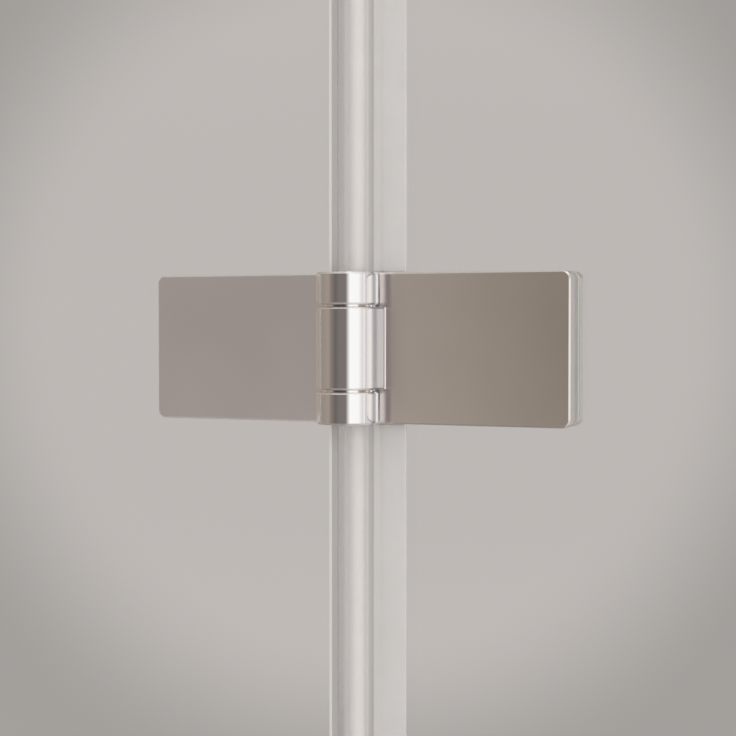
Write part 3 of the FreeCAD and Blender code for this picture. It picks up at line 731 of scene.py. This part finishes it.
def makeDripSeals():
    for part, body in (("fixed", "wall_side"), ("moving", "folding_leaf")):
        node = part + "_bottom_seal"
        low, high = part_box(node)
        piece = extrudeSection(part + "_drip_seal", [dripSealLoop(low, high)], (low.x, high.x), lieLevel)
        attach(piece, body)
        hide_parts(node)


makeDripSeals()
print("drip seals made")

# Floor at the level of the bath rim, fading into the backdrop
floor = {
    "radius": 9.0,
    "corners": 96,
    "fade": (1.2, 2.6),
    "colour": tone(206, 203, 200),
    "fleck": tone(190, 187, 184),
    "fleckScale": 30,
    "fleckDetail": 4,
    "fleckShare": 0.1,
}


def makeFloor():
    bpy.ops.mesh.primitive_circle_add(vertices=floor["corners"], radius=floor["radius"], fill_type="NGON")
    disc = bpy.context.object
    disc.name = "floor"
    disc.location = (foldAxis.x, 0, 0)
    material, look = newMaterial("paleFloor")
    place = look.place()
    distance = look.add("VectorMath", {"operation": "LENGTH"}, {0: place}, "Value")
    fleck = look.noise(place, floor["fleckScale"], floor["fleckDetail"])
    colour = look.blend(fleck * floor["fleckShare"], floor["colour"], floor["fleck"])
    matt = look.add("BsdfDiffuse", inputs={"Color": colour})
    gone = look.add("BsdfTransparent")
    look.show(look.add("MixShader", inputs={0: look.ease(distance, *floor["fade"]), 1: matt, 2: gone}))
    disc.data.materials.append(material)


makeFloor()

# Studio round the screen. What the metal mirrors goes round by heading: 0 degrees is before the glass,
# and plus goes to the free edge
studio = {
    "ambient": (1, 0.985, 0.97, 1),
    "ambientStrength": 0.62,
    "mirrorStrength": 1.15,
    "bands": [
        (-180, tone(216, 212, 209)),
        (-122, tone(170, 161, 154)),
        (-98, tone(155, 145, 137)),
        (-78, tone(149, 138, 129)),
        (-50, tone(156, 146, 137)),
        (-36, tone(128, 119, 114)),
        (-20, tone(103, 97, 94)),
        (-6, tone(118, 111, 109)),
        (19, tone(120, 113, 111)),
        (34, tone(250, 249, 248)),
        (66, tone(248, 247, 246)),
        (82, tone(214, 212, 211)),
        (90, tone(236, 234, 232)),
        (116, tone(232, 230, 228)),
        (140, tone(224, 220, 217)),
        (180, tone(216, 212, 209)),
    ],
    "lift": (0.1, 0.24),  # rise of the sight line where the bands give way to a pale top and bottom
    "above": tone(190, 177, 171),
    "below": tone(206, 194, 188),
    "horizonLift": (-0.2, 0.2),
    "zenith": tone(248, 246, 244),
    "zenithLift": (0.5, 0.8),
    "shade": tone(152, 143, 134),  # top and bottom are darker on the wall profile's side
    "shadeSide": (-150, -130, -98, -88),
    "shadeLift": (0.88, 0.95),
    "backdrop": tone(193, 187, 184),
    "backdropEdge": tone(160, 156, 153),
    "backdropSpread": (0.19, 0.30),  # radians off the main view's middle, where the corners darken
    "around": tone(204, 199, 196),
    "aroundSpread": (0.32, 0.5),
}


def mirroredStudio(look, sight):
    x, y, z = look.axes(sight)
    heading = look.maths("DEGREES", look.maths("ARCTAN2", x, 0 - y))
    stops = [((degrees + 180) / 360, colour) for degrees, colour in studio["bands"]]
    bands = look.add("ValToRGB", {"stops": stops}, {"Fac": (heading + 180) / 360})
    height = look.maths("ABSOLUTE", z)
    pale = look.blend(look.ease(z, *studio["horizonLift"]), studio["below"], studio["above"])
    pale = look.blend(look.ease(height, *studio["zenithLift"]), pale, studio["zenith"])
    shade = look.band(heading, *studio["shadeSide"]) * (1 - look.ease(height, *studio["shadeLift"]))
    pale = look.blend(shade, pale, studio["shade"])
    colour = look.blend(look.ease(height, *studio["lift"]), bands, pale)
    return look.add("Background", inputs={"Color": colour, "Strength": studio["mirrorStrength"]})


def paleBackdrop(look, sight, viewAzimuth):
    ahead = (-math.sin(viewAzimuth), math.cos(viewAzimuth), 0)
    along = look.add("VectorMath", {"operation": "DOT_PRODUCT"}, {0: sight, 1: ahead}, "Value")
    aside = look.maths("ARCCOSINE", along)
    corners = look.ease(aside, *studio["backdropSpread"])
    colour = look.blend(corners, studio["backdrop"], studio["backdropEdge"])
    colour = look.blend(look.ease(aside, *studio["aroundSpread"]), colour, studio["around"])
    return look.add("Background", inputs={"Color": colour, "Strength": 1.0})


def makeStudio(viewAzimuth):
    world = bpy.data.worlds.new("studio")
    bpy.context.scene.world = world
    look = Look(world)
    sight = look.add("TexCoord", output="Generated")
    mirrored = mirroredStudio(look, sight)
    backdrop = paleBackdrop(look, sight, viewAzimuth)
    light = {"Color": studio["ambient"], "Strength": studio["ambientStrength"]}
    ambient = look.add("Background", inputs=light)
    isCamera, isGlossy, isTransmission = (
        look.add("LightPath", output=f"Is {kind} Ray") for kind in ("Camera", "Glossy", "Transmission")
    )
    seen = look.maths("MAXIMUM", isCamera, isTransmission)
    lit = look.add("MixShader", inputs={0: isGlossy, 1: ambient, 2: mirrored})
    look.show(look.add("MixShader", inputs={0: seen, 1: lit, 2: backdrop}), "OutputWorld")


# Lamps: a wide softbox by the camera's right, a weaker one behind
lamps = {
    "softbox": {"from": (2.6, -1.5, 1.35), "size": 1.6, "watts": 32},
    "behind": {"from": (-0.4, 1.8, 2.2), "size": 1.4, "watts": 14},
}
lampColour = (1, 0.975, 0.95)


def makeLamps():
    for name, lamp in lamps.items():
        data = bpy.data.lights.new(name, "AREA")
        data.energy = lamp["watts"]
        data.size = lamp["size"]
        data.color = lampColour
        piece = bpy.data.objects.new(name, data)
        bpy.context.scene.collection.objects.link(piece)
        piece.location = lamp["from"]
        piece.rotation_euler = (hingeMiddle - piece.location).to_track_quat("-Z", "Y").to_euler()
        piece.visible_camera = False
        piece.visible_glossy = False
        piece.visible_transmission = False


# Camera: close to the upper hinge, a little to the free edge's side
view = {
    "azimuth": math.radians(24),
    "distance": 0.480,
    "focalPixels": 1600,
    "framePixels": 736,
    "footPixel": (353.7, 348),  # where the upper hinge's plate face shows, on the fold axis
    "horizonPixel": 325,
    "plateFace": -0.008,  # metres, in front of the glass's middle
    "sensorWidth": 36,
    "nearest": 0.01,
}


def makeCamera():
    data = bpy.data.cameras.new("photoView")
    data.sensor_width = view["sensorWidth"]
    data.lens = view["sensorWidth"] * view["focalPixels"] / view["framePixels"]
    data.clip_start = view["nearest"]
    piece = bpy.data.objects.new("photoView", data)
    bpy.context.scene.collection.objects.link(piece)
    turn = view["azimuth"]
    back = Vector((math.sin(turn), -math.cos(turn), 0))
    right = Vector((math.cos(turn), math.sin(turn), 0))
    middle = view["framePixels"] / 2
    metresPerPixel = view["distance"] / view["focalPixels"]
    foot = Vector((foldAxis.x, view["plateFace"], hingeMiddle.z))
    aside = (middle - view["footPixel"][0]) * metresPerPixel
    above = (view["footPixel"][1] - view["horizonPixel"]) * metresPerPixel
    piece.location = foot + back * view["distance"] + right * aside + Vector((0, 0, above))
    pitch = math.atan((middle - view["horizonPixel"]) / view["focalPixels"])
    piece.rotation_euler = (math.pi / 2 - pitch, 0, turn)
    bpy.context.scene.camera = piece


makeStudio(view["azimuth"])
makeLamps()
makeCamera()
bpy.context.scene.view_settings.view_transform = "Standard"
print("stage: floor, studio, lamps and camera")
